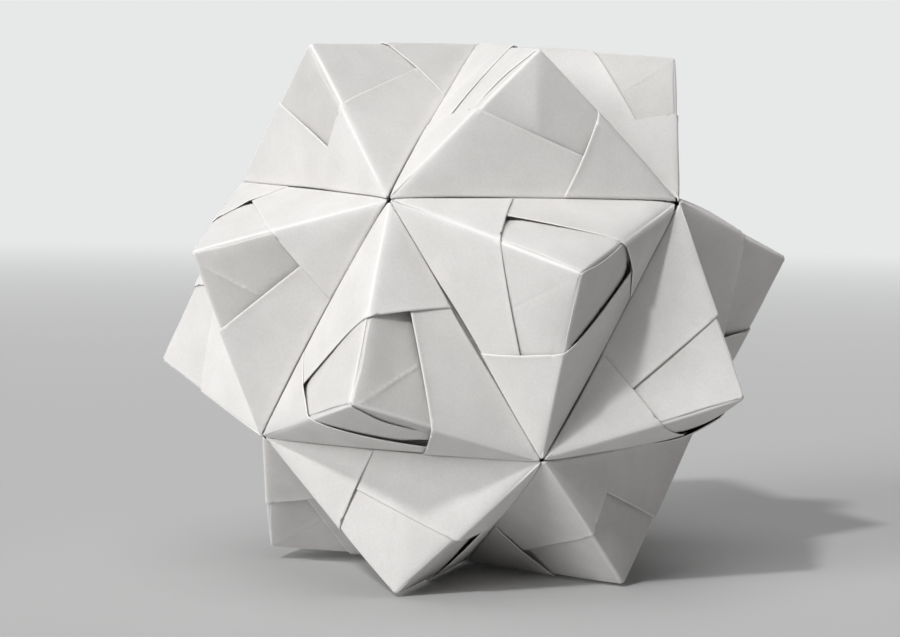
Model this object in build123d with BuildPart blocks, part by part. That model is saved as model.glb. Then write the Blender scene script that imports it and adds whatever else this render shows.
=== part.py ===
from build123d import *
from itertools import combinations
from math import acos, atan, cos, degrees, pi, radians, sin, sqrt, tan
import os

# A ball of thirty identical folded paper units. Each unit lies across one valley of
# the ball, and three units close each of its twenty three-sided pyramids.

# Driving dimensions, in millimetres and degrees
valley_length = 75.0
paper_level = 0.3
strip_slant = 22.5
tab_clearance = 0.15
valley_slit = 0.6
valley_hole_radius = 1.2

# The valleys are the edges of an icosahedron, and each pyramid is the corner of a cube
ring_radius = valley_length / (2 * sin(pi / 5))
ring_height = ring_radius / 2
vertex_radius = sqrt(ring_radius**2 + ring_height**2)
valley_radius = sqrt(vertex_radius**2 - (valley_length / 2) ** 2)
half_dihedral = degrees(acos(-sqrt(5) / 3)) / 2
face_tilt = degrees(atan(sqrt(2))) - (90 - half_dihedral)

# The peaks of the pyramids, and the ring of five of them round a corner where valleys meet
pyramid_base_radius = sqrt(vertex_radius**2 - valley_length**2 / 3)
peak_radius = pyramid_base_radius + valley_length / sqrt(6)
peak_ring_height = peak_radius * pyramid_base_radius / vertex_radius
peak_ring_radius = sqrt(peak_radius**2 - peak_ring_height**2)

# Such a corner stands a little prouder than the ring of peaks about it. So the ball rests
# on one corner and on the ridges to the two peaks in front of it, and leans by this angle.
resting_lean = degrees(
    atan((vertex_radius - peak_ring_height) / (peak_ring_radius * cos(pi / 5)))
)

# Each face holds four folded levels of paper. These are the heights of their undersides
# over the plane of the face, from the inside out: the next unit's tab, this unit's square
# and its strip, and the end of the next unit's strip.
tab_height = -2 * paper_level
square_height = -paper_level
strip_height = 0
strip_end_height = paper_level

# A free edge stops short of the sheet that comes over the ridge there, and the strips
# stop short of the valley, where the paper on its other side slants over them
free_edge_setback = 2 * paper_level + tab_clearance
strip_foot_gap = valley_slit / 2 + paper_level * tan(radians(face_tilt))
strip_end_foot_gap = valley_slit / 2 + 2 * paper_level * tan(radians(face_tilt))

# The strip's slanted edge runs to the far end of the valley. Past the ridge the strip
# comes down to the next valley at this distance from the shared corner.
strip_foot = valley_length * tan(radians(strip_slant))
sheet_reach = 2 * valley_length

# In the unit's frame the valley lies along X and Z points away from the ball's centre.
# A face has its valley on its X axis and its peak above the middle of the valley. The
# next face is the one past the left ridge.
own_plane = Plane(
    origin=(-valley_length / 2, 0, valley_radius),
    x_dir=(1, 0, 0),
    z_dir=Vector(0, 0, 1).rotate(Axis.X, face_tilt),
)
ridge = (own_plane.x_dir + own_plane.y_dir).normalized()
next_x = (own_plane.z_dir - ridge).normalized()
next_plane = Plane(
    origin=own_plane.origin - next_x * valley_length,
    x_dir=next_x,
    z_dir=own_plane.y_dir - own_plane.x_dir,
)


def face_outline(left_out, right_out, foot_out):
    """Sketch a face triangle with its three sides moved out by these distances."""
    left_shift = sqrt(2) * left_out
    right_shift = sqrt(2) * right_out
    peak_x = (valley_length + right_shift - left_shift) / 2
    Polygon(
        (-foot_out - left_shift, -foot_out),
        (valley_length + foot_out + right_shift, -foot_out),
        (peak_x, peak_x + left_shift),
        align=None,
    )
    with Locations((0, 0), (valley_length, 0)):
        Circle(valley_hole_radius, mode=Mode.SUBTRACT)


def keep_slanted_part(corner_x, align):
    """Keep what lies under the strip's slant, or beyond its square-cut end."""
    with Locations((corner_x, 0)):
        Rectangle(
            sheet_reach,
            sheet_reach,
            rotation=-strip_slant,
            align=align,
            mode=Mode.INTERSECT,
        )


def round_fold(own_height, next_height):
    """Round a sheet's fold over the ridge about the edge where its undersides meet."""
    inner_edge = own_plane.origin + own_plane.z_dir * own_height + next_plane.z_dir * next_height
    with BuildSketch(Plane(origin=inner_edge, x_dir=next_plane.z_dir, z_dir=ridge)) as waste:
        Rectangle(paper_level, paper_level, align=(Align.MIN, Align.MIN))
        Circle(paper_level, mode=Mode.SUBTRACT)
    extrude(waste.sketch, amount=sheet_reach, both=True, mode=Mode.SUBTRACT)

# Half of the square, and the tab that it folds down into past the left ridge
with BuildPart() as square_sheet:
    with BuildSketch(own_plane.offset(square_height)):
        face_outline(-paper_level, -free_edge_setback, paper_level)
    extrude(amount=paper_level)
    split(bisect_by=Plane.ZX, keep=Keep.TOP)
    with BuildSketch(next_plane.offset(tab_height)):
        face_outline(-free_edge_setback, 0, -tab_clearance)
    extrude(amount=paper_level)
    round_fold(square_height, tab_height)

# Half of the strip, and its end past the same ridge
with BuildPart() as strip_sheet:
    with BuildSketch(own_plane.offset(strip_height)):
        face_outline(2 * paper_level, -free_edge_setback, -strip_foot_gap)
        keep_slanted_part(valley_length, (Align.CENTER, Align.MAX))
    extrude(amount=paper_level)
    with BuildSketch(next_plane.offset(strip_end_height)):
        face_outline(0, paper_level, -strip_end_foot_gap)
        keep_slanted_part(valley_length - strip_foot, (Align.MIN, Align.CENTER))
    extrude(amount=paper_level)
    round_fold(strip_height, strip_end_height)

with BuildPart() as unit:
    add(square_sheet.part)
    add(strip_sheet.part)
    add(square_sheet.part.rotate(Axis.Z, 180))
    add(strip_sheet.part.rotate(Axis.Z, 180))

# The twelve corners where five valleys meet: the top, the bottom, and two rings of five
corners = [Vector(0, 0, vertex_radius), Vector(0, 0, -vertex_radius)]
for ring_place in PolarLocations(ring_radius, 5, start_angle=90):
    upper_corner = ring_place.position + Vector(0, 0, ring_height)
    corners.append(upper_corner)
    corners.append(-upper_corner)

valleys = [
    (start, end)
    for start, end in combinations(corners, 2)
    if (end - start).length < 1.1 * valley_length
]

# Each unit is set on its valley about the ball's centre. The ball is then leaned forward
# and lifted until it rests on the floor.
placed_units = []
for start, end in valleys:
    seat = Plane(origin=(0, 0, 0), x_dir=end - start, z_dir=start + end)
    placed_units.append(unit.part.moved(seat.location).rotate(Axis.X, resting_lean))
centre_height = -min(piece.bounding_box().min.Z for piece in placed_units)

os.makedirs("parts", exist_ok=True)
for number, piece in enumerate(placed_units, start=1):
    with BuildPart() as folded_unit:
        add(piece.moved(Location((0, 0, centre_height))))
    folded_unit.part.label = f"folded_unit_{number:02d}"
    export_step(folded_unit.part, f"parts/{folded_unit.part.label}.step")
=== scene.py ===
from collections import namedtuple
from itertools import combinations
from math import acos, atan, cos, pi, radians, sin, sqrt, tan

import bmesh
import bpy
import numpy as np
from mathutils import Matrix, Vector
from mathutils.geometry import delaunay_2d_cdt


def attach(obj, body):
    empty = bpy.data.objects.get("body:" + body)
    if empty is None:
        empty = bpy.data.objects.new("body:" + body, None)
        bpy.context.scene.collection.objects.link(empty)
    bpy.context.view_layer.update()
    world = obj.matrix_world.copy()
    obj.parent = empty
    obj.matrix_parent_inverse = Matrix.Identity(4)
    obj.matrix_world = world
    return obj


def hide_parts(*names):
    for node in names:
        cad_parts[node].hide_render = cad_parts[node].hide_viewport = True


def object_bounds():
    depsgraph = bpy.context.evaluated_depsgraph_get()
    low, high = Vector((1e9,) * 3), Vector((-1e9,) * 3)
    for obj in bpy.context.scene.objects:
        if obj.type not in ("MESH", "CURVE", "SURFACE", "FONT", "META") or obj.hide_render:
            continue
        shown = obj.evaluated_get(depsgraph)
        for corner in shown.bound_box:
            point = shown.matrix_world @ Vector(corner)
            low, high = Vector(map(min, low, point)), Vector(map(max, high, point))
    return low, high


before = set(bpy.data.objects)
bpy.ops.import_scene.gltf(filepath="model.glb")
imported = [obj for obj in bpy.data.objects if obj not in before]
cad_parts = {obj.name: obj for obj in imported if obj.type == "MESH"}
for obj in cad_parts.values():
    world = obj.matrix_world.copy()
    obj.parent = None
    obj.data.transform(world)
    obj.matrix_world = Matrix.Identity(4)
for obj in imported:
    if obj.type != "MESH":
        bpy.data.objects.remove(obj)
cad_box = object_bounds()
random = np.random.default_rng(7)

# A ball of thirty folded paper units, on the valleys of the part's source, with what a hand
# leaves in the paper. Sizes are in millimetres until a mesh is made, and then in metres.
MM = 0.001

# A valley's length, the thickness of a layer of paper, the turn of a strip's slanted edge
# from the valley, and how far past the ridge the strip reaches along the next valley
VALLEY = 75.0
LEVEL = 0.25
HALF_LEVEL = LEVEL / 2
SLANT = radians(22.5)
STRIP_FOOT = VALLEY * tan(SLANT)

# The valleys are the edges of an icosahedron, and each pyramid is the corner of a cube
RING_RADIUS = VALLEY / (2 * sin(pi / 5))
CORNER_RADIUS = RING_RADIUS * sqrt(1.25)
FACE_TILT = atan(sqrt(2)) - pi / 2 + acos(-sqrt(5) / 3) / 2
PYRAMID_BASE = sqrt(CORNER_RADIUS**2 - VALLEY**2 / 3)
PEAK_RADIUS = PYRAMID_BASE + VALLEY / sqrt(6)
PEAK_RING_HEIGHT = PEAK_RADIUS * PYRAMID_BASE / CORNER_RADIUS
PEAK_RING_RADIUS = sqrt(PEAK_RADIUS**2 - PEAK_RING_HEIGHT**2)
LEAN = atan((CORNER_RADIUS - PEAK_RING_HEIGHT) / (PEAK_RING_RADIUS * cos(pi / 5)))
CENTRE = np.array((cad_box[0] + cad_box[1]) / 2) / MM

# Where a slanted edge of a strip crosses the ridge: this far along x and y on the sheet's
# own face, this far along the ridge, and the lengths of the strip's and its end's edges
CROSSING = (VALLEY - STRIP_FOOT) / 2
STRIP_ON_RIDGE = sqrt(2) * CROSSING
STRIP_EDGE = (VALLEY + STRIP_FOOT) / 2 / cos(SLANT)
END_EDGE = CROSSING / cos(SLANT)
RIDGE = VALLEY / sqrt(2)


def unit_vector(v):
    return v / np.linalg.norm(v)


def ball_corners():
    """The twelve corners where five valleys meet, in the order of the part's source."""
    places = [np.array((0, 0, CORNER_RADIUS)), np.array((0, 0, -CORNER_RADIUS))]
    for k in range(5):
        turn = pi / 2 + 2 * pi * k / 5
        upper = np.array((RING_RADIUS * cos(turn), RING_RADIUS * sin(turn), RING_RADIUS / 2))
        places += [upper, -upper]
    lean = np.array(((1, 0, 0), (0, cos(LEAN), -sin(LEAN)), (0, sin(LEAN), cos(LEAN))))
    return [lean @ place for place in places]


# Corners that are about a valley apart have a valley between them, and peaks that are
# nearer than this are one
LONGEST_VALLEY = 1.1 * VALLEY
SAME_PEAK = 1

CORNERS = ball_corners()
VALLEYS = [
    (i, j)
    for i, j in combinations(range(len(CORNERS)), 2)
    if np.linalg.norm(CORNERS[i] - CORNERS[j]) < LONGEST_VALLEY
]


class Face:
    """One pyramid face: its left corner is at x = 0 and its right one at x = VALLEY."""

    def __init__(self, left, right):
        start, end = CORNERS[left], CORNERS[right]
        self.key = (left, right)
        self.origin = start
        self.x = unit_vector(end - start)
        outward = unit_vector(start + end)
        across = np.cross(outward, self.x)
        self.y = cos(FACE_TILT) * across + sin(FACE_TILT) * outward
        self.z = np.cross(self.x, self.y)
        self.peak = start + (self.x + self.y) * VALLEY / 2

    def join_pyramid(self, faces):
        """Find the faces past the two ridges, and the three corners of the pyramid."""
        pyramid = [face for face in faces if np.linalg.norm(face.peak - self.peak) < SAME_PEAK]
        self.past_left = next(face for face in pyramid if face.key[1] == self.key[0])
        self.past_right = next(face for face in pyramid if face.key[0] == self.key[1])
        self.corners = tuple(sorted(face.key[0] for face in pyramid))


FACES = {}
for i, j in VALLEYS:
    FACES[i, j] = Face(i, j)
    FACES[j, i] = Face(j, i)
for face in FACES.values():
    face.join_pyramid(FACES.values())


# How the paper of each face lies

# Each face holds four layers, from the inside out: the next unit's tab, this unit's square
# and its strip, and the end of the next unit's strip. These are the heights of the middles
# of the layers over the plane of the face.
TAB_LAYER, SQUARE_LAYER, STRIP_LAYER, END_LAYER = range(4)
LAYER_HEIGHTS = (-3 * HALF_LEVEL, -HALF_LEVEL, HALF_LEVEL, 3 * HALF_LEVEL)

# How a face departs from flat, in millimetres. Places are shares of a valley.
USUAL_LOOK = dict(
    # Swelling of the whole face, which is about a third of this at its highest, and how far
    # all of the face but its rims is raised
    bulge=0.6,
    crown=0.35,
    # How deep the square tilts in about the left ridge
    sink=0.0,
    # Upright creases of the square: place, height of the line, height of the fold round it
    creases=((0.5, 0.1, 0.2),),
    # Hollows in the square: place across and up the face, depth, reach
    dents=(),
    # Lift of the strip's slanted edge: height, place, width. Then the hollow under it.
    strip=(0.15, 0.5, 0.4),
    gap=0.6,
    # The same for the next unit's strip end, and how far to the right its slanted edge
    # lies, at the ridge and at its foot
    end=(0.1, 0.5, 0.4),
    end_gap=0.4,
    slide=(0.0, 0.0),
    # Swelling of the strip's foot: height, place, width
    foot=(0.4, 0.5, 0.3),
    # How far the strip's foot stays back from the valley, from the left to the right
    # corner, and what the strip end adds to that
    slit=(0.1, 0.1, 0.1, 0.1, 0.1),
    end_slit=0.0,
    # Lift of the square's free edge, and how far in it lies, near the peak and lower down
    edge=0.0,
    inset=(0.0, 0.0),
    # Softness of the left ridge: under the strip, what its corner adds, and near the peak
    ridge=(0.5, 0.9, 0.2),
    # Painted shade: how far the square is darkened towards a shaded tone, where it lies darker in
    # shade
    thin=0.3,
)


def look(**departures):
    """The look of one face, which is the usual one where nothing else is given."""
    return USUAL_LOOK | departures


# Every face has a drawn look, unless it gets its own below
LOOKS = {}
for key in FACES:
    LOOKS[key] = look(
        bulge=random.uniform(-1.0, 2.5),
        crown=random.uniform(0.2, 0.45),
        sink=random.uniform(-0.3, 1.2),
        creases=((
            random.uniform(0.48, 0.52),
            random.choice((-1, 1)) * random.uniform(0.08, 0.2),
            random.uniform(-0.8, 1.2),
        ),),
        strip=(random.uniform(0.1, 0.6), random.uniform(0.3, 0.7), 0.4),
        gap=random.uniform(0.5, 1.4),
        end=(random.uniform(0.05, 0.4), random.uniform(0.3, 0.7), 0.4),
        end_gap=random.uniform(0.3, 1.0),
        slide=tuple(random.uniform(-0.4, 1.0, 2)),
        foot=(random.uniform(0.2, 0.6), random.uniform(0.25, 0.75), 0.3),
        slit=tuple(random.uniform(0.0, 0.25, 5)),
        end_slit=random.uniform(-0.1, 0.3),
        edge=random.uniform(-0.1, 0.3),
        inset=tuple(random.uniform(0.0, 0.8, 2)),
        ridge=(random.uniform(0.3, 0.7), random.uniform(0.6, 1.3), random.uniform(0.15, 0.5)),
        thin=random.uniform(0.1, 0.6),
    )

# The faces that the photograph shows, by their left and right corners. Corner 6 is there
# at the upper left of the ball's middle, 8 at its upper right, 3 below them, 11 at the lower
# left, and 4, 0 and 5 at the left, the top and the right.
LOOKS[6, 8] = look(
    sink=0.5, creases=((0.49, -0.12, 2.2), (0.365, 0.08, -0.6)), strip=(0.1, 0.5, 0.4),
    end=(0.5, 0.4, 0.5), foot=(0.5, 0.6, 0.3), slit=(0.05, 0.25, 0.1, 0.15, 0.3),
    ridge=(0.5, 1.3, 0.25),
)
LOOKS[8, 6] = look(
    creases=((0.5, 0.0, 0.0),), dents=((0.65, 0.15, 0.8, 0.035),), strip=(0.5, 0.5, 0.3),
    gap=1.1, end=(0.2, 0.3, 0.3), end_gap=0.8, foot=(0.3, 0.5, 0.3),
    slit=(0.0, -0.6, 0.0, 0.3, 0.1), end_slit=0.5, edge=0.25, inset=(0.5, 0.5),
    ridge=(1.4, 1.4, 0.5), thin=0.0,
)
LOOKS[6, 3] = look(
    bulge=0.9, creases=((0.505, -0.15, 0.2),), strip=(0.45, 0.6, 0.6), gap=0.9,
    end=(0.2, 0.5, 0.4), foot=(0.5, 0.45, 0.2), slit=(0.1, 0.0, 0.7, 0.2, 0.1), end_slit=-0.2,
    inset=(0.8, 1.8), ridge=(0.7, 1.0, 0.35), thin=0.15,
)
LOOKS[3, 6] = look(
    bulge=-0.3, sink=1.1, creases=((0.485, 0.3, -0.3),), dents=((0.64, 0.15, 0.6, 0.04),),
    strip=(0.4, 0.55, 0.5), gap=0.8, end=(0.35, 0.5, 0.4), end_gap=0.8,
    foot=(0.4, 0.5, 0.2), slit=(0.1, 0.0, 0.7, 0.1, 0.1), end_slit=-0.1, edge=0.2,
    inset=(0.8, 0.8), ridge=(0.4, 0.9, 0.2), thin=1.0,
)
LOOKS[3, 8] = look(
    creases=((0.5, 0.0, 0.0),), dents=((0.68, 0.14, 0.5, 0.04),), strip=(0.7, 0.4, 1.3),
    gap=1.8, end=(0.4, 0.6, 0.5), end_gap=1.0, slide=(0.3, 2.8),
    slit=(0.1, 0.1, 0.15, 0.45, 0.8), edge=0.5, inset=(0.9, 0.8), ridge=(0.4, 0.6, 1.1),
)
LOOKS[8, 3] = look(
    bulge=0.9, creases=((0.5, 0.0, 0.0),), strip=(0.45, 0.5, 0.6), gap=1.0, end=(0.1, 0.5, 0.4),
    foot=(0.4, 0.7, 0.3), slit=(0.3, 0.15, 0.1, 0.35, 0.1), edge=0.3, inset=(0.5, 0.5),
    ridge=(0.5, 0.9, 0.4), thin=0.0,
)
LOOKS[6, 11] = look(
    creases=((0.5, 0.0, 0.0),), dents=((0.68, 0.13, 0.35, 0.022),), strip=(0.55, 0.55, 0.4),
    gap=1.2, end=(0.2, 0.6, 0.22), end_gap=0.3, slide=(1.2, 2.6), foot=(0.4, 0.5, 0.3),
    slit=(0.05, 0.05, 0.15, 0.2, 0.1), end_slit=0.3, edge=0.4, inset=(0.6, 1.0),
    ridge=(1.0, 1.6, 1.2),
)
LOOKS[11, 3] = look(
    bulge=2.6, creases=((0.5, 0.0, 0.0),), dents=((0.64, 0.12, 1.6, 0.06),),
    strip=(0.6, 0.35, 0.5), gap=0.6, end=(0.6, 0.5, 0.6), end_gap=1.2, foot=(0.5, 0.4, 0.3),
    slit=(0.1, 0.15, 0.3, 0.15, 0.1), edge=1.2, inset=(3.0, 3.2), ridge=(0.5, 1.0, 0.5),
)
LOOKS[11, 6] = look(
    bulge=0.3, sink=1.5, creases=((0.475, 0.26, 0.6),), strip=(0.35, 0.6, 0.5),
    foot=(0.4, 0.35, 0.25), slit=(0.3, 0.35, 0.2, 0.0, 0.0), end_slit=0.05, edge=0.2,
    inset=(0.5, 0.5), ridge=(0.25, 0.9, 0.15), thin=0.7,
)
LOOKS[6, 4] = look(
    creases=((0.5, 0.0, 0.0),), strip=(0.1, 0.5, 0.2), end=(0.3, 0.5, 0.1), end_gap=0.0,
    dents=((0.69, 0.13, 0.9, 0.025),), slide=(0.2, 3.4), slit=(0.1, 0.1, 0.1, 0.2, 0.1),
    ridge=(0.6, 1.3, 0.3), thin=0.0,
)
LOOKS[4, 11] = look(
    creases=((0.5, 0.1, 0.2),), strip=(0.2, 0.5, 0.4), gap=0.5, slit=(0.0, 0.05, 0.1, 0.1, 0.1),
    thin=0.7,
)
LOOKS[3, 11] = look(
    bulge=1.2, creases=((0.5, -0.2, 0.1),), strip=(0.05, 0.5, 0.4), end=(0.4, 0.45, 0.25),
    end_gap=1.3, foot=(0.5, 0.4, 0.3), slit=(0.1, 0.3, 0.35, 0.25, 0.1), ridge=(0.6, 0.8, 1.2),
    thin=0.0,
)
LOOKS[4, 6] = look(
    sink=0.9, creases=((0.5, 0.08, 0.3),), strip=(0.3, 0.6, 0.5), gap=0.5, end=(0.1, 0.5, 0.4),
    end_gap=0.3, slit=(0.1, 0.05, 0.35, 0.0, 0.0), edge=0.3, inset=(1.2, 0.6), thin=0.6,
)
LOOKS[6, 0] = look(
    bulge=1.0, creases=((0.5, 0.05, 0.1),), strip=(0.1, 0.5, 0.4), gap=0.2, end=(0.1, 0.5, 0.4),
    end_gap=0.15, slide=(0.8, 1.6), slit=(0.35, 0.3, 0.0, -0.1, -0.1), end_slit=0.0,
    ridge=(0.6, 1.0, 0.4), thin=0.1,
)
LOOKS[0, 6] = look(
    bulge=0.8, creases=((0.5, 0.0, 0.0),), strip=(0.15, 0.6, 0.4), gap=0.35,
    end=(0.1, 0.5, 0.4), end_gap=0.2, slit=(-0.1, -0.1, 0.0, 0.25, 0.3), edge=0.7,
    inset=(2.8, 3.0), ridge=(0.5, 1.0, 0.4), thin=0.0,
)
LOOKS[3, 5] = look(
    bulge=4.0, creases=((0.5, 0.0, 0.0),), strip=(0.3, 0.5, 0.4), gap=0.5, end=(0.3, 0.5, 0.4),
    end_gap=0.5, dents=((0.6, 0.17, 0.8, 0.06),), slit=(0.1, 0.1, 0.1, 0.1, 0.1),
    ridge=(0.5, 0.9, 0.3),
)
LOOKS[11, 4] = look(
    strip=(0.1, 0.5, 0.3), gap=0.15, end=(0.1, 0.5, 0.4), end_gap=0.15, ridge=(0.5, 0.9, 0.3),
)
LOOKS[5, 3] = look(
    creases=((0.5, 0.0, 0.0),), strip=(0.5, 0.5, 0.5), gap=1.6, end=(0.1, 0.5, 0.4),
    end_gap=0.3, slit=(0.1, 0.15, 0.2, 0.1, 0.1), ridge=(0.5, 0.9, 0.4),
)


# Where the corners and peaks of the hand-folded ball lie off their ideal places. What it
# rests on stays, and those that aren't listed are drawn when they are first asked for.
CORNER_NUDGES = {
    6: (-0.3, 0.1, -0.4),
    8: (0.9, -0.3, -0.2),
    11: (-0.8, 0.3, 0.0),
    1: (0, 0, 0),
    3: (0, 0, 0),
}
PEAK_NUDGES = {
    (0, 4, 6): (0.0, 0.0, -0.1),
    (0, 6, 8): (-0.3, 0.1, -0.2),
    (3, 6, 8): (0.2, -0.1, 0.1),
    (3, 6, 11): (0, 0, 0),
    (4, 6, 11): (-0.1, 0.0, -0.2),
    (3, 5, 8): (0.7, -0.2, 0.2),
    (5, 8, 10): (0.6, -0.2, -0.2),
    (4, 9, 11): (0.5, -0.2, -1.1),
    (1, 9, 11): (-0.8, 0.3, 0.3),
    (0, 8, 10): (0.6, -0.2, 0.1),
    (1, 3, 5): (0, 0, 0),
    (1, 3, 11): (0, 0, 0),
}
LARGEST_DRAWN_NUDGE = 0.35


def nudge_of(table, key):
    """The listed shift of a corner or peak, or a newly drawn one."""
    if key not in table:
        table[key] = tuple(random.uniform(-LARGEST_DRAWN_NUDGE, LARGEST_DRAWN_NUDGE, 3))
    return np.array(table[key])


for face in FACES.values():
    face.left_nudge = nudge_of(CORNER_NUDGES, face.key[0])
    face.right_nudge = nudge_of(CORNER_NUDGES, face.key[1])
    face.peak_nudge = nudge_of(PEAK_NUDGES, face.corners)


def nudged(face, x, y):
    """The shift of a point, shared out from the face's two corners and its peak."""
    to_peak = 2 * y / VALLEY
    to_right = (x - y) / VALLEY
    to_left = 1 - to_peak - to_right
    return (
        to_left[:, None] * face.left_nudge
        + to_right[:, None] * face.right_nudge
        + to_peak[:, None] * face.peak_nudge
    )


def hill(t, place, width):
    return np.exp(-(((t - place) / width) ** 2))


def tent(distance, width):
    return np.clip(1 - np.abs(distance) / width, 0, 1)


def ramp(distance, reach):
    """Rises from 0 at no distance almost to 1 over a few reaches."""
    return 1 - np.exp(-np.clip(distance, 0, None) / reach)


def smooth_step(t):
    t = np.clip(t, 0, 1)
    return t * t * (3 - 2 * t)


# Waves that all the paper shares, so that no fold is dead straight: their number, lengths
# and heights, and how far over the floor they start and are full
WAVE_COUNT = 14
SHORTEST_WAVE, LONGEST_WAVE = 30, 80
WAVE_HEIGHT = 0.045
WAVES_START, WAVES_FULL = 2, 16
WAVES = [
    (unit_vector(random.normal(size=3)) * 2 * pi / random.uniform(SHORTEST_WAVE, LONGEST_WAVE),
     random.uniform(0, 2 * pi),
     random.normal(size=3) * WAVE_HEIGHT)
    for _ in range(WAVE_COUNT)
]


def warp(points):
    """Bend all the paper a little as one, but not where it stands on the floor."""
    shift = np.zeros_like(points)
    for wave, phase, amount in WAVES:
        shift += np.sin(points @ wave + phase)[:, None] * amount
    clear = smooth_step((points[:, 2] - WAVES_START) / (WAVES_FULL - WAVES_START))
    return points + shift * clear[:, None]


# The sharpest bend of the paper, and how far a ridge's corner and peak change its bend.
# From this far off the strip's edge, and over this length, the bend of the lower layers
# changes to what it is near the peak.
SHARP = 0.15
CORNER_BEND_REACH = 13
PEAK_BEND_REACH = 4
UNCOVERED_START, UNCOVERED_LENGTH = -2, 6


def ridge_bend(face, along, layer):
    """How softly a sheet bends over the face's left ridge, at a distance from its corner."""
    at_strip, at_corner, at_peak = LOOKS[face.key]["ridge"]
    bend = at_strip + at_corner * np.exp(-along / CORNER_BEND_REACH)
    if layer <= SQUARE_LAYER:
        uncovered = along - STRIP_ON_RIDGE - UNCOVERED_START
        bend = bend + (at_peak - bend) * smooth_step(uncovered / UNCOVERED_LENGTH)
    return SHARP + (bend - SHARP) * ramp(RIDGE - along, PEAK_BEND_REACH)


def bend_drop(distance, bend):
    """How far a soft bend leaves the flat of a face, at a distance from the ridge."""
    distance = np.clip(distance, 0, None)
    return (np.sqrt(distance**2 + bend**2) - distance) / 2


def strip_place(x, y):
    """Distance across the strip's slanted edge, and the share along it from the ridge."""
    across = (VALLEY - x) * sin(SLANT) - y * cos(SLANT)
    along = (VALLEY - x) * cos(SLANT) + y * sin(SLANT)
    return across, 1 - along / STRIP_EDGE


def end_place(x, y):
    """Distance across the strip end's slanted edge, and the share along it from its foot."""
    across = (x - VALLEY + STRIP_FOOT) * cos(SLANT) - y * sin(SLANT)
    along = (x - VALLEY + STRIP_FOOT) * sin(SLANT) + y * cos(SLANT)
    return across, along / END_EDGE


# How far from the ridge the sideways slide of a strip end starts, since a fold can't slide
SLIDE_START = 1.2


def end_slide(face, x, y):
    """How far the strip end's slanted edge lies to the right of its place."""
    at_ridge, at_foot = LOOKS[face.key]["slide"]
    slide = at_foot + (at_ridge - at_foot) * np.clip(end_place(x, y)[1], 0, 1)
    return slide * ramp((VALLEY - x - y) / sqrt(2), SLIDE_START)


# Over these distances the departures of a face fade in from its sides
CROWN_REACH = 2.6
SIDE_REACH = 5
VALLEY_REACH = 4
STRIP_SIDE_REACH = 3

# Over these distances the lifts fade out from the edge that they belong to
STRIP_LIFT_REACH = 7
END_LIFT_REACH = 6
FOOT_LIFT_REACH = 6
EDGE_LIFT_REACH = 4

# The whole face swells by this times its distances from the three sides, as shares of a
# valley
BULGE_SHARE = 40

# Each face wavers by this height, in two waves with a phase of its own. The waves turn by
# these radians for each millimetre across and up the face and each radian of the phase.
WAVER = 0.14
WAVER_WAVES = ((0.13, 0.05, 1), (-0.07, 0.16, 2.3))
PHASE_OF_LEFT, PHASE_OF_RIGHT = 7.1, 3.3

# The hollow under a lifted edge: how far in it is full, and how open it is all along
HOLLOW_START = 1.6
OPEN_ALL_ALONG = 0.35

# A strip end rests on the square where its gap is under this. It comes down on it over
# this length, from this far past the strip's edge, but not right at the ridge.
RESTING_GAP = 0.6
RESTING_START, RESTING_LENGTH = 1.5, 4
RESTING_RIDGE_REACH = 1.5

# The square sinks by its full depth at this distance from its left ridge, less near its
# free edge and the valley
SINK_DISTANCE = 26
SINK_EDGE_REACH, SINK_VALLEY_REACH = 4, 6

# An upright crease is a soft fold and a narrow line on top of it. Both fade out under the
# strip, and the line stops short of the left ridge.
FOLD_REACH, FOLD_STRIP_REACH = 8, 4
LINE_WIDTH, LINE_STRIP_REACH, LINE_RIDGE_REACH = 0.45, 0.6, 1

# How near to the square's free edge its dents fade out
DENT_EDGE_REACH = 2

# The place and width of the lift of the square's free edge, and how far the sheet that
# comes over the ridge presses the edge in
EDGE_PLACE, EDGE_WIDTH = 0.37, 0.1
PRESSED = 0.12

# The tab under the square lies a little deeper
TAB_DEPTH = 0.05


def swelling(face, x, y):
    """Height of the whole face's swelling, crown and waver."""
    how = LOOKS[face.key]
    from_left = (x - y) / sqrt(2)
    from_right = (VALLEY - x - y) / sqrt(2)
    height = how["bulge"] * BULGE_SHARE * from_left * from_right * y / VALLEY**3
    height = height + how["crown"] * (
        ramp(from_left, CROWN_REACH) * ramp(from_right, CROWN_REACH) * ramp(y, CROWN_REACH)
    )
    phase = PHASE_OF_LEFT * face.key[0] + PHASE_OF_RIGHT * face.key[1]
    waves = sum(np.sin(across * x + up * y + turns * phase) for across, up, turns in WAVER_WAVES)
    inside = ramp(from_left, SIDE_REACH) * ramp(from_right, SIDE_REACH) * ramp(y, SIDE_REACH)
    return height + WAVER * inside * waves


def square_height(face, x, y, across_strip):
    """Height that the square and the tab under it add by their tilt, creases and dents."""
    how = LOOKS[face.key]
    from_left = (x - y) / sqrt(2)
    from_right = (VALLEY - x - y) / sqrt(2)
    inside = ramp(from_left, SIDE_REACH) * ramp(from_right, SIDE_REACH)
    sunk = ramp(from_right, SINK_EDGE_REACH) * inside * ramp(y, SINK_VALLEY_REACH)
    height = -how["sink"] * from_left / SINK_DISTANCE * sunk

    above_strip = ramp(-across_strip, FOLD_STRIP_REACH) * inside
    line_clear = ramp(-across_strip, LINE_STRIP_REACH) * ramp(from_left, LINE_RIDGE_REACH)
    for place, line, fold in how["creases"]:
        away = x - place * VALLEY
        height = height + fold * np.exp(-np.abs(away) / FOLD_REACH) * above_strip
        height = height + line * tent(away, LINE_WIDTH) * line_clear

    dent_clear = ramp(y, VALLEY_REACH) * ramp(from_right, DENT_EDGE_REACH)
    for at_x, at_y, depth, reach in how["dents"]:
        away = np.hypot(x / VALLEY - at_x, y / VALLEY - at_y)
        height = height - depth * hill(away, 0, reach) * dent_clear
    return height


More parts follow.
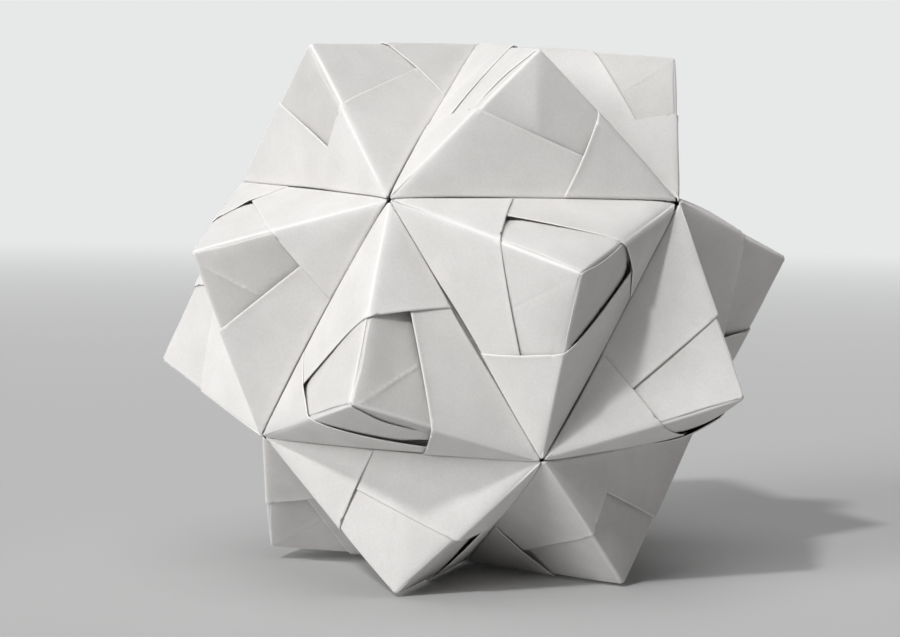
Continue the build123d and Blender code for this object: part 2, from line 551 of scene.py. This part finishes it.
def face_height(face, x, y, layer):
    """Height of a layer over its flat place."""
    how = LOOKS[face.key]
    from_left = (x - y) / sqrt(2)
    from_right = (VALLEY - x - y) / sqrt(2)
    inside = ramp(from_left, SIDE_REACH) * ramp(from_right, SIDE_REACH)
    height = swelling(face, x, y)
    along_right = (VALLEY - x + y) / sqrt(2)
    right_bend = bend_drop(from_right, ridge_bend(face.past_right, along_right, layer))

    across_strip, along_strip = strip_place(x, y)
    lift, place, width = how["strip"]
    strip_hill = hill(along_strip, place, width)
    strip_lift = lift * strip_hill * np.exp(-np.abs(across_strip) / STRIP_LIFT_REACH)
    lift, place, width = how["foot"]
    strip_lift = strip_lift + lift * hill(x / VALLEY, place, width) * np.exp(-y / FOOT_LIFT_REACH)
    strip_lift = strip_lift * ramp(from_left, STRIP_SIDE_REACH) * ramp(from_right, STRIP_SIDE_REACH)

    across_end, along_end = end_place(x, y)
    across_end = across_end - end_slide(face, x, y) * cos(SLANT)
    lift, place, width = how["end"]
    end_hill = hill(along_end, place, width)
    end_lift = lift * end_hill * np.exp(-np.abs(across_end) / END_LIFT_REACH)
    end_lift = end_lift * ramp(from_right, STRIP_SIDE_REACH)

    # The layers under a strip spring away from it
    hollow = ramp(y, VALLEY_REACH) * inside
    under_strip = how["gap"] * (OPEN_ALL_ALONG + (1 - OPEN_ALL_ALONG) * strip_hill)
    under_strip = under_strip * smooth_step(across_strip / HOLLOW_START) * hollow
    under_end = how["end_gap"] * (OPEN_ALL_ALONG + (1 - OPEN_ALL_ALONG) * end_hill)
    under_end = under_end * smooth_step(across_end / HOLLOW_START) * hollow

    if layer == END_LAYER:
        # Past the strip's edge the end comes down on the square, unless it is held off
        settled = LEVEL * np.clip(1 - how["end_gap"] / RESTING_GAP, 0, 1)
        settled = settled * smooth_step((-across_strip - RESTING_START) / RESTING_LENGTH)
        settled = settled * ramp(from_right, RESTING_RIDGE_REACH)
        return height + strip_lift + end_lift - settled
    if layer == STRIP_LAYER:
        return height + strip_lift - under_end - right_bend

    height = height - under_strip - under_end + square_height(face, x, y, across_strip)
    if layer == SQUARE_LAYER:
        edge = how["edge"] * hill(y / VALLEY, EDGE_PLACE, EDGE_WIDTH) - PRESSED
        return height + edge * np.exp(-from_right / EDGE_LIFT_REACH) - right_bend
    left_bend = bend_drop(from_left, ridge_bend(face, (x + y) / sqrt(2), layer))
    return height - TAB_DEPTH * inside - left_bend


# The square and the tab are creased deeper in the valley than the strips over them: how
# deep, how far up the face it reaches, and how far from the corners it is full
VALLEY_CREASES = {TAB_LAYER: (3.6, 3.4), SQUARE_LAYER: (3.0, 2.2)}
CREASE_END_REACH = 5


def valley_dip(face, x, y, layer):
    """How far the crease in the valley moves a layer."""
    if layer not in VALLEY_CREASES:
        return np.zeros_like(x)
    depth, reach = VALLEY_CREASES[layer]
    place = x if face.key[0] < face.key[1] else VALLEY - x
    ends = ramp(place, CREASE_END_REACH) * ramp(VALLEY - place, CREASE_END_REACH)
    return -depth * ends * np.exp(-((y / reach) ** 2))


# The places and widths of the stretches where the square's free edge lies further in, the
# width of each value of a slit, and how far from their edges the slides in a face fade out
UPPER_INSET, LOWER_INSET = (0.4, 0.07), (0.27, 0.08)
SLIT_WIDTH = 0.16
INSET_REACH = 5
SLIT_REACH = 7
SLIDE_REACH = 5
SLIDE_CORNER_REACH = 6


def slide_in_face(face, x, y, layer):
    """How far a sheet lies off its place within the plane of a face, along x and y."""
    how = LOOKS[face.key]
    still = np.zeros_like(x)
    if layer == SQUARE_LAYER:
        from_right = (VALLEY - x - y) / sqrt(2)
        upper, lower = how["inset"]
        inset = upper * hill(y / VALLEY, *UPPER_INSET) + lower * hill(y / VALLEY, *LOWER_INSET)
        inset = inset * np.exp(-from_right / INSET_REACH) / sqrt(2)
        return -inset, -inset
    if layer == TAB_LAYER:
        return still, still
    knots = np.linspace(0, 1, len(how["slit"]))
    weights = np.exp(-(((x / VALLEY)[:, None] - knots) / SLIT_WIDTH) ** 2)
    slit = (weights * np.array(how["slit"])).sum(axis=1) / weights.sum(axis=1)
    if layer == STRIP_LAYER:
        return still, slit * np.exp(-y / SLIT_REACH)
    across_end = end_place(x, y)[0]
    slide = end_slide(face, x, y) * np.exp(-np.abs(across_end) / SLIDE_REACH)
    slide = slide * ramp(VALLEY - x, SLIDE_CORNER_REACH)
    return slide, (slit + how["end_slit"]) * np.exp(-y / SLIT_REACH)


# How far up the face the slant of the valley's far side pushes a sheet that lies high
OVER_SLANT_REACH = 4


def lay_paper(face, u, v, offset, own_layer, past_layer):
    """Carry points of a flat sheet to the ball, round the ridge where u equals v.

    offset is how far the points lie over the middle of the paper.
    """
    past = face.past_left
    own_height, past_height = LAYER_HEIGHTS[own_layer], LAYER_HEIGHTS[past_layer]
    # The place of each point across the fold and along it
    q = (u - v) / sqrt(2)
    w = (u + v) / sqrt(2)
    own = q >= 0
    x = np.where(own, u - past_height / sqrt(2), VALLEY - v + own_height / sqrt(2))
    y = np.where(own, v + past_height / sqrt(2), u + own_height / sqrt(2))
    y = np.clip(y, 0, None)
    height = np.where(
        own, face_height(face, x, y, own_layer), face_height(past, x, y, past_layer)
    )
    height = height + np.where(
        own, valley_dip(face, x, y, own_layer), valley_dip(past, x, y, past_layer)
    )
    ridge = (face.x + face.y) / sqrt(2)
    down = (face.x - face.y) / sqrt(2)
    root = np.sqrt(q * q + ridge_bend(face, w, own_layer) ** 2)
    share = (1 + q / root) / 2
    normal = share[:, None] * face.z + (1 - share)[:, None] * past.z
    normal = normal / np.linalg.norm(normal, axis=1)[:, None]
    places = (
        face.origin
        + w[:, None] * ridge
        + ((q + root) / 2 - past_height)[:, None] * down
        - ((root - q) / 2 - own_height)[:, None] * face.z
        + (height + offset)[:, None] * normal
    )
    level = np.where(own, own_height, past_height) + height + offset
    over_slant = level * tan(FACE_TILT) * np.exp(-y / OVER_SLANT_REACH)
    for side, mask, layer in ((face, own, own_layer), (past, ~own, past_layer)):
        along, up = slide_in_face(side, x, y, layer)
        shift = along[:, None] * side.x + (up + over_slant)[:, None] * side.y
        places = places + mask[:, None] * (shift + nudged(side, x, y))
    return warp(places + CENTRE)


# The flat sheets

# One sheet is half of a square with one of its tabs, and the other a strip with its end.
# They lie flat with u along the valley and v up from it, and fold where u equals v. Of each
# point they hold its place, its share of the full thickness and its distance from the
# nearest free edge.
Sheet = namedtuple("Sheet", "points triangles share distance")

# Rows of points beside a free edge, at these shares of the rounded rim, and one past it
RIM_ROWS = (0.15, 0.5, 1)
ROW_PAST_RIM = 0.4

# The least distance of a row from a side and of its points from each other. Then how far
# the points of the grid are jittered, and how far they stay from the sides and from other
# points, in shares of their spacing.
LEAST_INSIDE = 0.015
LEAST_APART = 0.045
JITTER = 0.05
GRID_INSIDE = 0.45
GRID_APART = 0.55

# Points nearer than this to a side are on it
ON_SIDE = 1e-3

# What the triangulation takes: keep only what is inside the outline, and how near two
# points are one
KEEP_INSIDE = 1
SAME_POINT = 1e-5


def side_rows(start, end, spacing, depths):
    """Points along a side of an outline, and in rows beside it at these depths."""
    start, end = np.array(start), np.array(end)
    length = np.linalg.norm(end - start)
    count = max(1, round(length / spacing))
    along = (end - start) / length
    inward = np.array((-along[1], along[0]))
    rows = []
    for depth in depths:
        for k in range(count if depth == 0 else count + 1):
            t = np.clip(length * k / count, depth, length - depth)
            rows.append(start + along * t + inward * depth)
    return rows


def spread_out(points, least):
    """The points, less those that lie nearer than this to one before them."""
    apart = np.linalg.norm(points[:, None] - points[None], axis=-1)
    crowded = (np.tril(apart < least, -1)).any(axis=1)
    return points[~crowded]


def side_distances(points, outline):
    """Distance of each point from each side of an outline."""
    corners = np.array(outline)
    span = np.roll(corners, -1, axis=0) - corners
    offset = points[:, None, :] - corners[None]
    t = np.clip((offset * span[None]).sum(-1) / (span**2).sum(-1)[None], 0, 1)
    return np.linalg.norm(offset - t[..., None] * span[None], axis=-1)


def well_inside(points, outline, margin):
    """Whether points lie inside an outline, and further than this from its sides."""
    corners = np.array(outline)
    ahead = np.roll(corners, -1, axis=0)
    level = points[:, 1:]
    beside = (corners[:, 1] > level) != (ahead[:, 1] > level)
    rise = np.where(ahead[:, 1] == corners[:, 1], 1, ahead[:, 1] - corners[:, 1])
    crossing = corners[:, 0] + (level - corners[:, 1]) / rise * (ahead - corners)[:, 0]
    crossings = (beside & (points[:, :1] < crossing)).sum(axis=1)
    return (crossings % 2 == 1) & (side_distances(points, outline).min(axis=1) > margin)


def grid_points(outline, spacing):
    """Points in staggered rows over an outline's box, a little jittered."""
    low, high = np.min(outline, axis=0), np.max(outline, axis=0)
    step = spacing * sqrt(3) / 2
    grid = [
        (low[0] + (column + 0.5 * (row % 2)) * spacing, low[1] + row * step)
        for row in range(int((high[1] - low[1]) / step) + 1)
        for column in range(int((high[0] - low[0]) / spacing) + 1)
    ]
    return np.array(grid) + random.normal(size=(len(grid), 2)) * JITTER


def flat_sheet(outline, free, lines, spacing, rim):
    """Triangles of a flat outline, with fine rows where it bends and along its free sides.

    free says for each side whether it is a free edge, lines are (start, end) of extra rows,
    and rim is how far in from the free edges the paper is rounded.
    """
    depths = [share * rim for share in RIM_ROWS] + [rim + ROW_PAST_RIM]
    edge_points = []
    row_points = []
    for start, end, is_free in zip(outline, outline[1:] + outline[:1], free):
        edge_points += side_rows(start, end, spacing, (0,))
        if is_free:
            row_points += side_rows(start, end, spacing, depths)
    for start, end in lines:
        row_points += side_rows(start, end, spacing, (0,)) + [np.array(end)]
    row_points = np.array(row_points)
    row_points = row_points[well_inside(row_points, outline, LEAST_INSIDE)]
    taken = np.concatenate((edge_points, spread_out(row_points, LEAST_APART)))

    grid = grid_points(outline, spacing)
    grid = grid[well_inside(grid, outline, GRID_INSIDE * spacing)]
    gap = np.linalg.norm(grid[:, None] - taken[None], axis=-1).min(axis=1)
    points = np.concatenate((taken, grid[gap > GRID_APART * spacing]))

    loop = list(range(len(edge_points)))
    laid = delaunay_2d_cdt([Vector(p) for p in points], [], [loop], KEEP_INSIDE, SAME_POINT)
    points = np.array([tuple(p) for p in laid[0]])
    triangles = np.array(laid[2])
    a, b, c = (points[triangles[:, k]] for k in range(3))
    turn = (b - a)[:, 0] * (c - a)[:, 1] - (b - a)[:, 1] * (c - a)[:, 0]
    triangles[turn < 0] = triangles[turn < 0][:, ::-1]
    distance = side_distances(points, outline)[:, np.array(free)].min(axis=1)
    distance[distance < ON_SIDE] = 0
    inside = np.clip(distance / rim, 0, 1)
    return Sheet(points, triangles, np.sqrt(1 - (1 - inside) ** 2), distance)


# How far a layer's height shifts its sheet on its own face, and on the one past the ridge
OWN_SHIFT = 3 * HALF_LEVEL / sqrt(2)
PAST_SHIFT = HALF_LEVEL / sqrt(2)

# The rows beside a fold are at these distances from it, and start here along it
FOLD_STEPS = (-2.4, -1.4, -0.7, -0.35, -0.12, 0.12, 0.35, 0.7, 1.4, 2.4)
FOLD_ROW_START = 1


def fold_rows(end):
    """Rows beside the fold over the ridge, up to where u and v are both this."""
    rows = []
    for step in FOLD_STEPS:
        shift = step / sqrt(2)
        rows.append([(at + shift, at - shift) for at in (FOLD_ROW_START, end)])
    return rows


def place_on_square(x, y, past):
    """Where a place on a face, or on the face past the ridge, lies on the flat square."""
    if past:
        return y + PAST_SHIFT, VALLEY - x - PAST_SHIFT
    return x - OWN_SHIFT, y + OWN_SHIFT


def place_on_strip(x, y, past):
    """Where a place on a face, or on the face past the ridge, lies on the flat strip."""
    if past:
        return y - PAST_SHIFT, VALLEY - x + PAST_SHIFT
    return x + OWN_SHIFT, y - OWN_SHIFT


def edge_rows(place_on_sheet, past, strip_depths, end_depths):
    """Rows under the slanted edges of the strip and the strip end, at these depths in."""
    strip_edge = ((VALLEY, 0), (CROSSING, CROSSING))
    end_edge = ((VALLEY - STRIP_FOOT, 0), (VALLEY - CROSSING, CROSSING))
    rows = []
    for edge, inward, depths in (
        (strip_edge, (-sin(SLANT), -cos(SLANT)), strip_depths),
        (end_edge, (cos(SLANT), -sin(SLANT)), end_depths),
    ):
        for depth in depths:
            rows.append([
                place_on_sheet(x + depth * inward[0], y + depth * inward[1], past)
                for x, y in edge
            ])
    return rows


# The free edges of the square and its tab stop short of the sheets that come over the
# ridges there, with these clearances. On them u and v add up to these lines.
FREE_CLEARANCE, TAB_CLEARANCE = 0.1, 0.15
FREE_LINE = VALLEY - sqrt(2) * (LEVEL + FREE_CLEARANCE)
TAB_LINE = VALLEY - sqrt(2) * (2 * LEVEL + TAB_CLEARANCE)

# How far the square's corners are cut: at both ends of the valley, at the foot of each free
# edge, at the tab's far corner, at the start of the fold and at the peak. The tab's foot
# stops short of the next valley.
SQUARE_HOLE = 2.2
FREE_CORNER = 1.7
TAB_HOLE = 3.0
SQUARE_FOLD_START = 1.6
PEAK_CUT = 0.8
TIP = VALLEY / 2 - PEAK_CUT
TAB_FOOT = PAST_SHIFT + TAB_CLEARANCE
SQUARE_SPACING = 1.9

SQUARE_OUTLINE = [
    (SQUARE_HOLE - OWN_SHIFT, OWN_SHIFT),
    (VALLEY - SQUARE_HOLE - OWN_SHIFT, OWN_SHIFT),
    (FREE_LINE - FREE_CORNER, FREE_CORNER),
    (FREE_LINE - TIP, TIP),
    (TIP, TAB_LINE - TIP),
    (FREE_CORNER, TAB_LINE - FREE_CORNER),
    (TAB_FOOT, VALLEY - TAB_HOLE),
    (TAB_FOOT, SQUARE_HOLE),
    (SQUARE_FOLD_START, SQUARE_FOLD_START),
]
SQUARE_FREE = [False] + [True] * 8

# Extra rows of the square: by its fold, by its upright crease from where the strip covers
# it up to just under the peak, by the valley, and under the edges of the strips over it
CREASE_ROWS = (-0.9, -0.45, 0, 0.45, 0.9)
CREASE_TOP = 1.2
UNDER_STRIP = 2
VALLEY_ROWS = (0.5, 1.2, 2.2, 3.4, 5)
VALLEY_ROW_START = 3
EDGE_ROWS = (0, 0.5, 1.0, 1.6)
SLID_EDGE_ROWS = (2.3, 3.0, 3.8)
TAB_EDGE_ROWS = (0, 0.8, 1.6)

square_lines = fold_rows(FREE_LINE / 2)
for side in CREASE_ROWS:
    u = VALLEY / 2 + side - OWN_SHIFT
    top = min(FREE_LINE - VALLEY / 2 - side + OWN_SHIFT, VALLEY / 2 + side - CREASE_TOP)
    square_lines.append(((u, STRIP_FOOT / 2 - UNDER_STRIP), (u, top)))
for depth in VALLEY_ROWS:
    v = OWN_SHIFT + depth
    square_lines.append(((depth + VALLEY_ROW_START, v), (VALLEY - depth - VALLEY_ROW_START, v)))
square_lines += edge_rows(place_on_square, False, EDGE_ROWS, EDGE_ROWS + SLID_EDGE_ROWS)
square_lines += edge_rows(place_on_square, True, TAB_EDGE_ROWS, TAB_EDGE_ROWS)
SQUARE = flat_sheet(SQUARE_OUTLINE, SQUARE_FREE, square_lines, SQUARE_SPACING, HALF_LEVEL)

# The strip's rim is softly folded, with a slight bead on its upper side. Its corners are
# cut at the end of the valley and at the fold, and its sharp far end is cut short.
RIM = 0.4
BEAD = 0.1
BEAD_WIDTH = 0.3
STRIP_HOLE = 0.7
STRIP_FOLD_START = 0.35
STRIP_TIP_CUT = 1.4
STRIP_SPACING = 1.7

STRIP_OUTLINE = [
    (STRIP_HOLE + OWN_SHIFT, -OWN_SHIFT),
    (VALLEY - STRIP_TIP_CUT, -OWN_SHIFT),
    (VALLEY - STRIP_TIP_CUT, STRIP_TIP_CUT * tan(SLANT)),
    (-PAST_SHIFT, STRIP_FOOT + PAST_SHIFT * tan(SLANT)),
    (-PAST_SHIFT, STRIP_HOLE),
    (STRIP_FOLD_START, STRIP_FOLD_START),
]
STRIP_FREE = [True] * 6
strip_lines = fold_rows(CROSSING) + edge_rows(place_on_strip, False, (), EDGE_ROWS)
STRIP = flat_sheet(STRIP_OUTLINE, STRIP_FREE, strip_lines, STRIP_SPACING, RIM)


# The paper's material


def link(tree, a, out, b, into):
    tree.links.new(a.outputs[out], b.inputs[into])


def add_node(tree, kind, **settings):
    """A new shader node with these settings."""
    node = tree.nodes.new("ShaderNode" + kind)
    for name, value in settings.items():
        setattr(node, name, value)
    return node


# The paper's tones, the specks of its fibres, the painted shade that darkens the square of some
# faces, and the colour of its worn folds and edges
CLOUD_TONES = ((0.32, (0.70, 0.685, 0.67, 1)), (0.68, (0.76, 0.745, 0.73, 1)))
FIBRE_TONES = ((0.35, (0.94, 0.94, 0.94, 1)), (0.65, (1, 1, 1, 1)))
UNSHADED_TONE = (1, 1, 1, 1)
PAINTED_SHADE_TONE = (0.82, 0.815, 0.81, 1)
WORN = (0.84, 0.83, 0.82, 1)

# The numbers of a colour mix's sockets: its share, its two colours and its result
SHARE, FIRST, SECOND, RESULT = 0, 6, 7, 2


def paper_material():
    """Off-white uncoated paper: faint clouding and fibres, painted shade on some squares, paler
    where it is folded.
    """
    material = bpy.data.materials.new("paper")
    material.use_nodes = True
    tree = material.node_tree
    shader = tree.nodes["Principled BSDF"]
    shader.inputs["Roughness"].default_value = 0.82
    shader.inputs["Specular IOR Level"].default_value = 0.28
    shader.inputs["Sheen Weight"].default_value = 0.06
    place = add_node(tree, "TexCoord")

    def noise(scale, detail, roughness):
        node = add_node(tree, "TexNoise")
        node.inputs["Scale"].default_value = scale
        node.inputs["Detail"].default_value = detail
        node.inputs["Roughness"].default_value = roughness
        link(tree, place, "Object", node, "Vector")
        return node

    def tones(pattern, steps):
        ramp_node = add_node(tree, "ValToRGB")
        for element, (position, colour) in zip(ramp_node.color_ramp.elements, steps):
            element.position = position
            element.color = colour
        link(tree, pattern, "Fac", ramp_node, "Fac")
        return ramp_node

    def times(first, first_out, second, second_out):
        node = add_node(tree, "Mix", data_type="RGBA", blend_type="MULTIPLY")
        node.inputs[SHARE].default_value = 1
        link(tree, first, first_out, node, FIRST)
        link(tree, second, second_out, node, SECOND)
        return node

    clouds = noise(90, 4, 0.55)
    fibres = noise(1600, 3, 0.65)
    grain = times(tones(clouds, CLOUD_TONES), "Color", tones(fibres, FIBRE_TONES), "Color")

    # Painted shade: each point's share of the darker tone, set face by face on the squares
    thin = add_node(tree, "Attribute", attribute_name="thin")
    painted_shade_mix = add_node(tree, "Mix", data_type="RGBA")
    painted_shade_mix.inputs[FIRST].default_value = UNSHADED_TONE
    painted_shade_mix.inputs[SECOND].default_value = PAINTED_SHADE_TONE
    link(tree, thin, "Fac", painted_shade_mix, SHARE)

    wear = add_node(tree, "Attribute", attribute_name="wear")
    worn = add_node(tree, "Mix", data_type="RGBA")
    worn.inputs[SECOND].default_value = WORN
    link(tree, wear, "Fac", worn, SHARE)
    link(tree, times(grain, RESULT, painted_shade_mix, RESULT), RESULT, worn, FIRST)
    link(tree, worn, RESULT, shader, "Base Color")

    bump = add_node(tree, "Bump")
    bump.inputs["Strength"].default_value = 0.35
    bump.inputs["Distance"].default_value = 0.00006
    link(tree, fibres, "Fac", bump, "Height")
    link(tree, bump, "Normal", shader, "Normal")
    return material


PAPER = paper_material()

# The units

# How wide and how strong the wear is by a fold and by a free edge
FOLD_WEAR_WIDTH, FOLD_WEAR = 0.45, 0.85
EDGE_WEAR_WIDTH, EDGE_WEAR = 0.35, 0.5

# The points by the middle of the square move to its crease, over this width. They stay
# where they are at the ridges and in the lowest part of the square.
CREASE_SHIFT_WIDTH = 8
STILL_AT_RIDGE, RIDGE_SHIFT_REACH = 1, 2
STILL_LOW_PART, LOW_SHIFT_REACH = 8, 4


def moved_to_crease(face, u, v):
    """The points' u, with those by the middle moved to the face's first crease."""
    off_middle = (LOOKS[face.key]["creases"][0][0] - 0.5) * VALLEY
    clear = ramp(u - v, RIDGE_SHIFT_REACH)
    clear = clear * ramp(VALLEY - u - v - STILL_AT_RIDGE, RIDGE_SHIFT_REACH)
    clear = clear * ramp(v - STILL_LOW_PART, LOW_SHIFT_REACH)
    return u + off_middle * hill(u + OWN_SHIFT, VALLEY / 2, CREASE_SHIFT_WIDTH) * clear


def sheet_parts(face, sheet, bead, own_layer, past_layer):
    """Both sides of one bent sheet: its places, triangles, wear and painted shade."""
    u, v = sheet.points.T
    is_square = own_layer == SQUARE_LAYER
    if is_square:
        u = moved_to_crease(face, u, v)
    fold_wear = np.exp(-(((u - v) / sqrt(2) / FOLD_WEAR_WIDTH) ** 2)) * FOLD_WEAR
    edge_wear = np.exp(-sheet.distance / EDGE_WEAR_WIDTH) * EDGE_WEAR
    wear = np.clip(fold_wear + edge_wear, 0, 1)
    rim = bead * sheet.share * hill(sheet.distance, RIM, BEAD_WIDTH)
    upper = lay_paper(face, u, v, HALF_LEVEL * sheet.share + rim, own_layer, past_layer)
    lower = lay_paper(face, u, v, -HALF_LEVEL * sheet.share, own_layer, past_layer)
    faces = (sheet.triangles, sheet.triangles[:, ::-1] + len(u))
    # Only the square carries painted shade
    thin = LOOKS[face.key]["thin"] if is_square else 0
    return (
        np.concatenate((upper, lower)),
        np.concatenate(faces),
        np.concatenate((wear, wear)),
        np.full(2 * len(u), thin, dtype=float),
    )


# Over this distance up from the valley a square's two halves are bent to meet each other
SEAM_REACH = 3


def join_in_valley(half, other_half):
    """Bring the places of a square's two halves together along the valley."""
    points = SQUARE.points
    under = len(points)
    seam = np.flatnonzero(np.abs(points[:, 1] - OWN_SHIFT) < ON_SIDE)
    seam = seam[np.argsort(points[seam, 0])]
    facing = seam[::-1]
    gap = other_half[facing] - half[seam] + other_half[facing + under] - half[seam + under]
    # The gap is summed over both sides of the paper, and each half closes half of it
    share = np.exp(-(points[:, 1] - OWN_SHIFT) / SEAM_REACH) / 4
    for places, shift in ((half, gap), (other_half, -gap[::-1])):
        for axis in range(3):
            move = share * np.interp(points[:, 0], points[seam, 0], shift[:, axis])
            places[:, axis] += np.tile(move, 2)
    for first in (0, under):
        middle = (half[seam + first] + other_half[facing + first]) / 2
        half[seam + first] = middle
        other_half[facing + first] = middle


# Points that lie nearer than this to each other are one, in metres
WELD = 3e-7


def weld(mesh):
    """Join the two sides of each sheet along its free edges, and the halves in the valley."""
    work = bmesh.new()
    work.from_mesh(mesh)
    bmesh.ops.remove_doubles(work, verts=work.verts, dist=WELD)
    work.to_mesh(mesh)
    work.free()


def make_unit(number, start, end):
    """One folded unit: a square with its tabs, creased in the valley, and two strips."""
    parts = []
    for face in (FACES[start, end], FACES[end, start]):
        parts.append(sheet_parts(face, SQUARE, 0, SQUARE_LAYER, TAB_LAYER))
        parts.append(sheet_parts(face, STRIP, BEAD, STRIP_LAYER, END_LAYER))
    join_in_valley(parts[0][0], parts[2][0])
    places, faces, wear, thin = zip(*parts)
    first_points = np.cumsum([0] + [len(part) for part in places])
    faces = [part + first for part, first in zip(faces, first_points)]

    name = f"paper_unit_{number:02d}"
    mesh = bpy.data.meshes.new(name)
    mesh.from_pydata((np.concatenate(places) * MM).tolist(), [], np.concatenate(faces).tolist())
    for label, values in (("wear", wear), ("thin", thin)):
        attribute = mesh.attributes.new(label, "FLOAT", "POINT")
        attribute.data.foreach_set("value", np.concatenate(values))
    weld(mesh)
    mesh.polygons.foreach_set("use_smooth", [True] * len(mesh.polygons))
    mesh.materials.append(PAPER)
    piece = bpy.data.objects.new(name, mesh)
    bpy.context.collection.objects.link(piece)
    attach(piece, "root")
    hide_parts(f"folded_unit_{number:02d}")


for number, (start, end) in enumerate(VALLEYS, start=1):
    make_unit(number, start, end)


# The floor, the light and the camera

# The backdrop's colour, which the camera sees far off, and the floor's. The floor's half
# width and where it fades into the backdrop are in metres.
BACKDROP = (0.80, 0.81, 0.81, 1)
FLOOR_COLOUR = (0.52, 0.52, 0.52, 1)
FLOOR_HALF = 30
FADE_START, FADE_END = 0.3, 4.5
SKY_STRENGTH = 0.06


def seen_by_camera(tree):
    """A value of 1 for what the camera sees, also in a reflection or through glass."""
    rays = add_node(tree, "LightPath")
    total = rays.outputs["Is Camera Ray"]
    for ray in ("Is Glossy Ray", "Is Transmission Ray"):
        larger = add_node(tree, "Math", operation="MAXIMUM")
        tree.links.new(total, larger.inputs[0])
        tree.links.new(rays.outputs[ray], larger.inputs[1])
        total = larger.outputs["Value"]
    return total


def floor_material():
    """A plain grey floor, which fades into the backdrop's colour far from the ball."""
    material = bpy.data.materials.new("floor")
    material.use_nodes = True
    tree = material.node_tree
    shader = tree.nodes["Principled BSDF"]
    shader.inputs["Base Color"].default_value = FLOOR_COLOUR
    shader.inputs["Roughness"].default_value = 0.9
    place = add_node(tree, "TexCoord")
    away = add_node(tree, "VectorMath", operation="LENGTH")
    link(tree, place, "Object", away, 0)
    fade = add_node(tree, "MapRange", interpolation_type="SMOOTHSTEP")
    fade.inputs["From Min"].default_value = FADE_START
    fade.inputs["From Max"].default_value = FADE_END
    link(tree, away, "Value", fade, "Value")
    faded = add_node(tree, "Math", operation="MULTIPLY")
    link(tree, fade, "Result", faded, 0)
    tree.links.new(seen_by_camera(tree), faded.inputs[1])
    far_colour = add_node(tree, "Emission")
    far_colour.inputs["Color"].default_value = BACKDROP
    blend = add_node(tree, "MixShader")
    link(tree, faded, "Value", blend, "Fac")
    link(tree, shader, "BSDF", blend, 1)
    link(tree, far_colour, "Emission", blend, 2)
    link(tree, blend, "Shader", tree.nodes["Material Output"], "Surface")
    return material


def make_floor():
    corners = [(-1, -1), (1, -1), (1, 1), (-1, 1)]
    mesh = bpy.data.meshes.new("floor")
    mesh.from_pydata([(x * FLOOR_HALF, y * FLOOR_HALF, 0) for x, y in corners], [], [(0, 1, 2, 3)])
    mesh.materials.append(floor_material())
    floor = bpy.data.objects.new("floor", mesh)
    bpy.context.collection.objects.link(floor)


def make_world():
    """A faint even light from all round, behind a backdrop that only the camera sees."""
    world = bpy.data.worlds.new("world")
    bpy.context.scene.world = world
    world.use_nodes = True
    tree = world.node_tree
    sky = tree.nodes["Background"]
    sky.inputs["Color"].default_value = (1, 1, 1, 1)
    sky.inputs["Strength"].default_value = SKY_STRENGTH
    backdrop = add_node(tree, "Background")
    backdrop.inputs["Color"].default_value = BACKDROP
    backdrop.inputs["Strength"].default_value = 1
    choose = add_node(tree, "MixShader")
    tree.links.new(seen_by_camera(tree), choose.inputs["Fac"])
    link(tree, sky, "Background", choose, 1)
    link(tree, backdrop, "Background", choose, 2)
    link(tree, choose, "Shader", tree.nodes["World Output"], "Surface")


make_floor()
make_world()


def sun(name, turn, rise, spread, strength):
    """A distant soft lamp: the turn and rise of the place it shines from, in degrees."""
    turn, rise = radians(turn), radians(rise)
    data = bpy.data.lights.new(name, "SUN")
    data.angle = radians(spread)
    data.energy = strength
    light = bpy.data.objects.new(name, data)
    offset = Vector((cos(rise) * cos(turn), cos(rise) * sin(turn), sin(rise)))
    light.rotation_euler = offset.to_track_quat("Z", "Y").to_euler()
    bpy.context.collection.objects.link(light)


sun("key", 223.5, 42, 4, 1.4)
sun("side", 206, 20, 30, 1.65)
sun("top", 250, 78, 50, 0.88)
sun("fill", 70, 25, 60, 0.3)

# The photograph's size, focal length and centre of view in its pixels, where its camera
# stands, and its turn about x, y and z in degrees
PHOTO_WIDTH, PHOTO_HEIGHT = 900, 637
FOCAL_LENGTH = 1963.97
VIEW_CENTRE = (478, 322)
CAMERA_PLACE = (-159.365, -514.769, 99.217)
CAMERA_TURN = (86.628, -0.9092, -17.3725)

camera_data = bpy.data.cameras.new("camera")
camera = bpy.data.objects.new("camera", camera_data)
bpy.context.collection.objects.link(camera)
camera.location = Vector(CAMERA_PLACE) * MM
camera.rotation_euler = [radians(angle) for angle in CAMERA_TURN]
camera_data.sensor_width = 36
camera_data.lens = FOCAL_LENGTH / PHOTO_WIDTH * camera_data.sensor_width
camera_data.shift_x = -(VIEW_CENTRE[0] - PHOTO_WIDTH / 2) / PHOTO_WIDTH
camera_data.shift_y = (VIEW_CENTRE[1] - PHOTO_HEIGHT / 2) / PHOTO_WIDTH
camera_data.clip_start = 0.01
bpy.context.scene.camera = camera

bpy.context.scene.view_settings.view_transform = "Standard"
